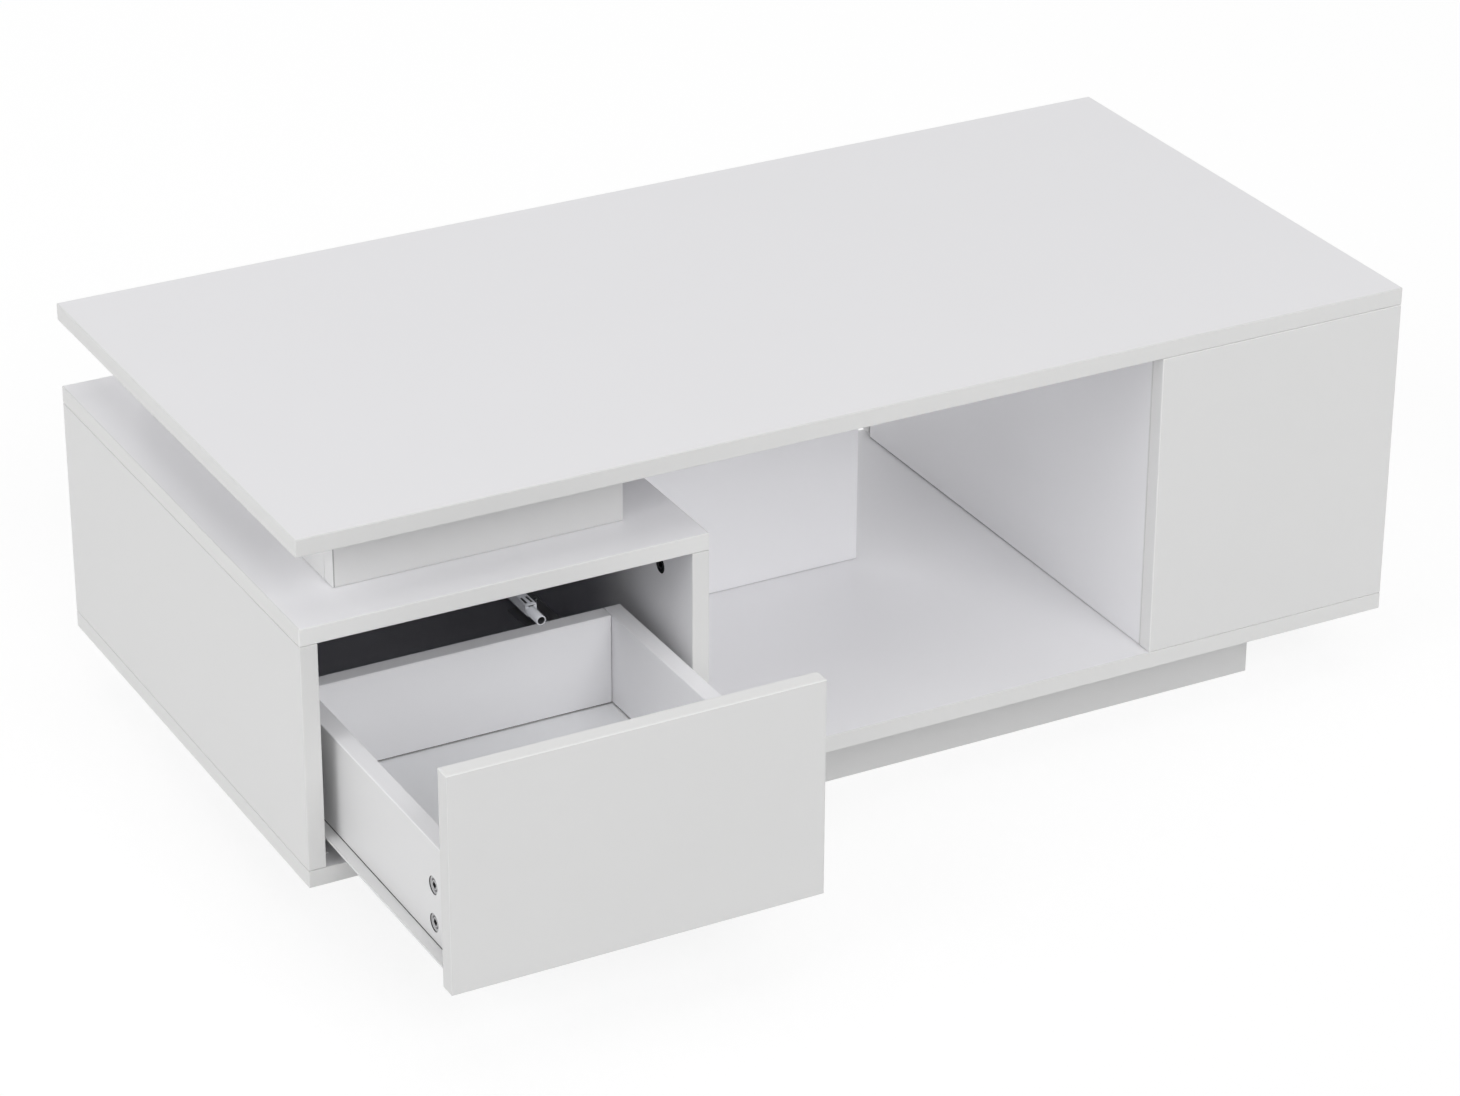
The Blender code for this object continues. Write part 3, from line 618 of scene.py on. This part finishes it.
plated_finish, tree, shader = new_finish("plated_screw", 0.3, 1.0)
grain = noise(tree, own_place(tree), 0.0016, 3.0)
depth_mark = tree.nodes.new("ShaderNodeAttribute")
depth_mark.attribute_name = "recess"
plating_dull, plating_bright = (0.52, 0.53, 0.55, 1.0), (0.66, 0.66, 0.66, 1.0)
recess_shade_grey = (0.05, 0.05, 0.05, 1.0)
metal = blend_colours(tree, grain, plating_dull, plating_bright)
# The cross recess is painted dark, as shade
recess_shade = remap(tree, depth_mark.outputs["Fac"], 0.4, 0.9, 0.0, 0.8)
feed(tree, shader.inputs["Base Color"], blend_colours(tree, recess_shade, metal, recess_shade_grey))
feed(tree, shader.inputs["Roughness"], remap(tree, grain, 0.3, 0.7, 0.24, 0.38))

pan_height, low_height, flat_height = 0.0018, 0.0009, 0.0014
pan_head = make_screw("pan_pattern", 0.0030, pan_height, rounding=0.0010, reach=0.0030)
low_head = make_screw("low_pattern", 0.0030, low_height, rounding=0.0005, reach=0.0028)
flat_head = make_screw("flat_pattern", 0.0040, flat_height, rounding=0.0002, reach=0.0040)

# The screws' steps from a runner's front end, the depth of each web's inner face, and how far the
# screws lie under a fixed runner's top or over a sliding runner's foot
screw_steps, sliding_lead = (0.037, 0.133, 0.261), 0.009
fixed_web, sliding_web, fixed_drop, sliding_rise = 0.0012, 0.0092, 0.0035, 0.0093
for drawer in drawers:
    for side in ("left", "right"):
        toward = 1 if (side == "left") == (drawer == "front_drawer") else -1
        front = -1 if drawer == "front_drawer" else 1
        low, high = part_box(drawer + "_fixed_runner_" + side)
        web = (low.x if toward > 0 else high.x) + toward * (fixed_web + pan_height)
        for number, step in enumerate(screw_steps, 1):
            y = (low.y if front < 0 else high.y) - front * step
            screw = copy_piece(pan_head, "%s_fixed_runner_%s_screw_%d" % (drawer, side, number),
                               turned_to((toward, 0, 0), (web, y, high.z - fixed_drop), 0.6 * number))
            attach(screw, "table")
        low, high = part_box(drawer + "_sliding_runner_" + side)
        web = (low.x if toward > 0 else high.x) + toward * (sliding_web - low_height)
        for number, step in enumerate(screw_steps, 1):
            y = (low.y if front < 0 else high.y) - front * (step - sliding_lead)
            screw = copy_piece(low_head, "%s_sliding_runner_%s_screw_%d" % (drawer, side, number),
                               turned_to((-toward, 0, 0), (web, y, low.z + sliding_rise), 0.5 * number))
            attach(screw, drawer)

# The flat heads stand 0.3 mm proud of the bottom board, under the middles of the uprights' edges
underside = 0.0597
flat_spots = [(x, y) for x in (-0.4925, -0.1595, 0.2725, 0.4925) for y in (-0.205, 0.0, 0.205)]
flat_spots += [(-0.42, 0.2375), (-0.23, 0.2375), (0.34, -0.2375), (0.43, -0.2375)]
for number, (x, y) in enumerate(flat_spots, 1):
    screw = copy_piece(flat_head, "underside_screw_%d" % number,
                       turned_to((0, 0, -1), (x, y, underside), 0.8 * number))
    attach(screw, "table")


# Push latches. A grey moulded barrel hangs on a screwed foot under the board above the drawer.
# A tube slides in it on a spring: it lets the drawer pop out when the front is pushed in.

# Made with the mouth at y = 0 and the barrel running along +Y, then put in place
barrel_radius, barrel_length, barrel_bore, end_wall = 0.0048, 0.0640, 0.0043, 0.003
body = add_bar("latch_pattern", (0, 0, 0), (0, barrel_length, 0), barrel_radius, 64)
bpy.ops.object.mode_set(mode="EDIT")
pick_faces(lambda face: abs(face.normal.y) > 0.9)
bpy.ops.mesh.bevel(offset=0.0002, segments=2, affect="EDGES")
bpy.ops.object.mode_set(mode="OBJECT")

housing_half, housing_start, housing_end, housing_top = 0.0049, 0.0006, 0.0270, 0.0060
housing = add_block("housing", (-housing_half, housing_start, 0), (housing_half, housing_end, housing_top))
bpy.ops.object.mode_set(mode="EDIT")
pick_faces(lambda face: face.normal.z > 0.9)
bpy.ops.mesh.bevel(offset=0.0007, segments=3, affect="EDGES")
bpy.ops.object.mode_set(mode="OBJECT")

foot_start, foot_end, foot_half = 0.0280, 0.0640, 0.0130
foot_low, foot_high = 0.0242, 0.0267
foot = add_block("foot", (-foot_half, foot_start, foot_low), (foot_half, foot_end, foot_high))
bpy.ops.object.mode_set(mode="EDIT")
bpy.ops.mesh.select_mode(type="EDGE")
bpy.ops.mesh.select_all(action="DESELECT")
shape = bmesh.from_edit_mesh(foot.data)
for edge in shape.edges:
    edge.select_set(abs((edge.verts[0].co - edge.verts[1].co).z) > 0.001)
bmesh.update_edit_mesh(foot.data)
bpy.ops.mesh.bevel(offset=0.0045, segments=6, affect="EDGES")
bpy.ops.object.mode_set(mode="OBJECT")

# The web and its two ribs widen upwards, from the barrel to the foot
web_half, web_start, web_end, into_foot = 0.0030, 0.0320, 0.0600, 0.001
web = add_block("web", (-web_half, web_start, 0.0), (web_half, web_end, foot_low + into_foot))
bpy.ops.object.mode_set(mode="EDIT")
pick_faces(lambda face: face.normal.z > 0.9)
bpy.ops.transform.resize(value=(1.5, 1.12, 1.0))
bpy.ops.object.mode_set(mode="OBJECT")
rib_half, rib_foot, rib_edges = 0.0085, 0.010, ((0.0315, 0.0330), (0.0590, 0.0605))
ribs = [add_block("rib", (-rib_half, start, rib_foot), (rib_half, end, foot_low + into_foot))
        for start, end in rib_edges]
for rib in ribs:
    bpy.ops.object.select_all(action="DESELECT")
    rib.select_set(True)
    bpy.context.view_layer.objects.active = rib
    bpy.ops.object.mode_set(mode="EDIT")
    pick_faces(lambda face: face.normal.z < -0.9)
    bpy.ops.transform.resize(value=(0.4, 1.0, 1.0))
    bpy.ops.object.mode_set(mode="OBJECT")
for part in (housing, web, foot, *ribs):
    shape_with(body, part, "UNION")

shape_with(body, add_bar("bore", (0, -0.001, 0), (0, barrel_length - end_wall, 0), barrel_bore, 64))
slot_floor, slot_half, slot_start, slot_end = 0.0046, 0.0011, 0.0035, 0.0145
for middle in (-0.0023, 0.0023):
    shape_with(body, add_block("slot", (middle - slot_half, slot_start, slot_floor),
                               (middle + slot_half, slot_end, housing_top + 0.001)))
ease_edges(body, 0.00015)
smooth_round(body)
# The slots' floors are painted black as shade, and the side that the rib's shade falls on is painted
# darker, down to the barrel's lower edge
slots_reach, side_from, side_down_to, side_shade = 0.0036, -0.0040, -0.0024, 0.38
darkness = body.data.attributes.new("recess", "FLOAT", "POINT")
for item, vertex in zip(darkness.data, body.data.vertices):
    x, y, z = vertex.co
    in_slot = y < slot_end + 0.0005 and abs(x) < slots_reach and barrel_bore < z < slot_floor + 0.0003
    on_shaded_side = x < side_from and z > side_down_to
    item.value = 1.0 if in_slot else side_shade if on_shaded_side else 0.0

latch_finish, tree, shader = new_finish("latch_plastic", 0.38)
plastic_grey, plastic_pale = (0.57, 0.58, 0.62, 1.0), (0.63, 0.64, 0.67, 1.0)
slot_shade_black = (0.015, 0.015, 0.016, 1.0)
place = own_place(tree)
cloud = noise(tree, place, 0.006, 3.0)
mould = noise(tree, place, 0.0004, 2.0)
moulded = blend_colours(tree, cloud, plastic_grey, plastic_pale)
depth_mark = tree.nodes.new("ShaderNodeAttribute")
depth_mark.attribute_name = "recess"
feed(tree, shader.inputs["Base Color"], blend_colours(tree, depth_mark.outputs["Fac"], moulded, slot_shade_black))
feed(tree, shader.inputs["Roughness"], remap(tree, cloud, 0.3, 0.7, 0.33, 0.45))
relief(tree, shader, mould, 0.00003)
body.data.materials.append(latch_finish)

# The tube's open tip has an eased edge and a wall round a hollow, which is painted dark as shade
# within its lip and has a peg at its floor
tube_length, tube_radius = 0.0425, 0.0040
tip_ease, tip_wall, tip_lip, tip_recess = 0.0003, 0.0006, 0.0008, 0.0080
in_hollow, peg_inset, peg_rise = 0.0032, 0.0009, 0.0012
tube = add_bar("tube_pattern", (0, 0, 0), (0, tube_length, 0), tube_radius, 48)
bpy.ops.object.mode_set(mode="EDIT")
pick_faces(lambda face: face.normal.y < -0.9)
bpy.ops.mesh.bevel(offset=tip_ease, segments=3, affect="EDGES")
pick_faces(lambda face: face.normal.y < -0.99 and len(face.verts) > 8)
bpy.ops.mesh.inset(thickness=tip_wall)
bpy.ops.mesh.extrude_region_move(TRANSFORM_OT_translate={"value": (0, tip_lip, 0)})
bpy.ops.mesh.extrude_region_move(TRANSFORM_OT_translate={"value": (0, tip_recess - tip_lip, 0)})
bpy.ops.mesh.inset(thickness=peg_inset)
bpy.ops.mesh.extrude_region_move(TRANSFORM_OT_translate={"value": (0, -peg_rise, 0)})
bpy.ops.object.mode_set(mode="OBJECT")
smooth_round(tube)
darkness = tube.data.attributes.new("recess", "FLOAT", "POINT")
for item, vertex in zip(darkness.data, tube.data.vertices):
    in_tip = vertex.co.y < tip_recess + 0.001 and Vector(vertex.co.xz).length < in_hollow
    item.value = min(0.9, vertex.co.y / tip_lip) if in_tip else 0.0
tube.data.materials.append(latch_finish)

# Two screws go through each foot, one on either side of the web
screw_across, screw_along = 0.0093, 0.046
half_turn = Matrix.Rotation(pi, 4, "Z")
latch_places = {"front_drawer": Matrix.Translation((-0.298, -0.2265, 0.243)),
                "rear_drawer": Matrix.Translation((0.3545, 0.2265, 0.318)) @ half_turn}
for drawer, place in latch_places.items():
    housing_piece = copy_piece(body, drawer + "_latch_housing", place)
    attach(housing_piece, "table")
    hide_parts(drawer + "_latch_body")

    low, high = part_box(drawer + "_latch_plunger")
    tip = low.y if drawer == "front_drawer" else high.y
    tip_place = Matrix.Translation((place.translation.x, tip, place.translation.z))
    if drawer == "rear_drawer":
        tip_place = tip_place @ half_turn
    tube_piece = copy_piece(tube, drawer + "_latch_tube", tip_place)
    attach(tube_piece, drawer + "_latch_plunger")
    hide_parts(drawer + "_latch_plunger")

    for number, across in enumerate((-screw_across, screw_across), 1):
        foot_face = place @ Vector((across, screw_along, foot_low - pan_height))
        screw = copy_piece(pan_head, "%s_latch_screw_%d" % (drawer, number),
                           turned_to((0, 0, -1), foot_face, 0.9 * number))
        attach(screw, "table")
for pattern in (body, tube, pan_head, low_head, flat_head):
    bpy.data.objects.remove(pattern)

spring_finish, tree, shader = new_finish("spring_wire", 0.28, 1.0)
drawn = noise(tree, own_place(tree), 0.002, 2.0)
wire_dull, wire_bright = (0.40, 0.40, 0.41, 1.0), (0.56, 0.56, 0.57, 1.0)
feed(tree, shader.inputs["Base Color"], blend_colours(tree, drawn, wire_dull, wire_bright))
for drawer in drawers:
    dress(drawer + "_latch_spring", spring_finish)


# The studio. A white floor runs out to a white surround, large soft boxes hang over the table and
# stand in front of it and beside it, and the camera looks down from the front left.

bpy.ops.object.select_all(action="DESELECT")
bpy.ops.mesh.primitive_plane_add(size=40.0, location=(0, 0, 0))
floor = bpy.context.active_object
floor.name = "studio_floor"
floor_finish, tree, shader = new_finish("studio_floor", 0.9)
shader.inputs["Base Color"].default_value = (0.90, 0.90, 0.90, 1.0)
light_path = tree.nodes.new("ShaderNodeLightPath")
glow = tree.nodes.new("ShaderNodeEmission")
# Past the reach of the lamps the floor glows a little more, so that it meets the white surround
glow_share, glow_start, glow_end, near_glow, far_glow = 0.78, 4.0, 12.0, 1.06, 1.30
far = along(tree, "DISTANCE", own_place(tree), (0.0, 0.0, 0.0))
feed(tree, glow.inputs["Strength"], remap(tree, far, glow_start, glow_end, near_glow, far_glow))
seen = calculate(tree, "MAXIMUM", light_path.outputs["Is Camera Ray"],
                 light_path.outputs["Is Glossy Ray"])
seen = calculate(tree, "MAXIMUM", seen, light_path.outputs["Is Transmission Ray"])
mixed = tree.nodes.new("ShaderNodeMixShader")
feed(tree, mixed.inputs[0], calculate(tree, "MULTIPLY", seen, glow_share))
feed(tree, mixed.inputs[1], shader.outputs[0])
feed(tree, mixed.inputs[2], glow.outputs[0])
feed(tree, tree.nodes["Material Output"].inputs["Surface"], mixed.outputs[0])
floor.data.materials.append(floor_finish)

surround = bpy.data.worlds.new("studio_surround")
scene.world = surround
surround.use_nodes = True
tree = surround.node_tree
ambient = tree.nodes["Background"]
ambient.inputs["Color"].default_value = (1.0, 1.0, 1.0, 1.0)
ambient.inputs["Strength"].default_value = 0.23
white = tree.nodes.new("ShaderNodeBackground")
white.inputs["Strength"].default_value = 1.0
white.inputs["Color"].default_value = (1.0, 1.0, 1.0, 1.0)
light_path = tree.nodes.new("ShaderNodeLightPath")
seen = calculate(tree, "MAXIMUM", light_path.outputs["Is Camera Ray"],
                 light_path.outputs["Is Glossy Ray"])
seen = calculate(tree, "MAXIMUM", seen, light_path.outputs["Is Transmission Ray"])
mixed = tree.nodes.new("ShaderNodeMixShader")
feed(tree, mixed.inputs[0], seen)
feed(tree, mixed.inputs[1], ambient.outputs[0])
feed(tree, mixed.inputs[2], white.outputs[0])
feed(tree, tree.nodes["World Output"].inputs["Surface"], mixed.outputs[0])


def soft_box(name, place, target, width, height, watts):
    """A lamp at a place, turned to a target, that doesn't show in gloss."""
    lamp = bpy.data.lights.new(name, "AREA")
    lamp.shape = "RECTANGLE"
    lamp.size = width
    lamp.size_y = height
    lamp.energy = watts
    box = bpy.data.objects.new(name, lamp)
    scene.collection.objects.link(box)
    box.location = place
    box.visible_glossy = False
    box.rotation_euler = (Vector(target) - Vector(place)).to_track_quat("-Z", "Y").to_euler()


table_middle = (0.0, 0.0, 0.2)
soft_box("overhead", (0.0, 0.0, 6.0), table_middle, 6.0, 6.0, 92.0)
soft_box("front", (0.0, -7.0, 5.0), table_middle, 6.0, 4.0, 300.0)
soft_box("left_low", (-8.0, -1.0, 1.4), table_middle, 6.0, 2.2, 48.0)
soft_box("left_high", (-6.5, -1.5, 4.5), table_middle, 5.0, 4.0, 160.0)
soft_box("back", (0.5, 8.0, 1.4), table_middle, 6.0, 2.2, 345.0)
soft_box("right", (8.0, 1.0, 1.8), table_middle, 6.0, 3.0, 90.0)
# A small soft box under the top fills the open compartment, which is evenly light in the photograph
soft_box("compartment_fill", (-0.05, -0.13, 0.262), (-0.05, -0.1299, 0.0), 0.18, 0.20, 0.043)

# The camera's focal length in pixels, its place and its turn were solved from the table's corners
picture_width, focal_pixels = 1460, 4705.6
camera_data = bpy.data.cameras.new("camera")
camera = bpy.data.objects.new("camera", camera_data)
scene.collection.objects.link(camera)
camera_data.sensor_width = 36.0
camera_data.lens = focal_pixels / picture_width * camera_data.sensor_width
camera.location = (-1.69217, -3.13558, 1.93128)
camera.rotation_euler = (radians(63.1292), radians(-0.2255), radians(-28.2162))
scene.camera = camera

scene.view_settings.view_transform = "Standard"
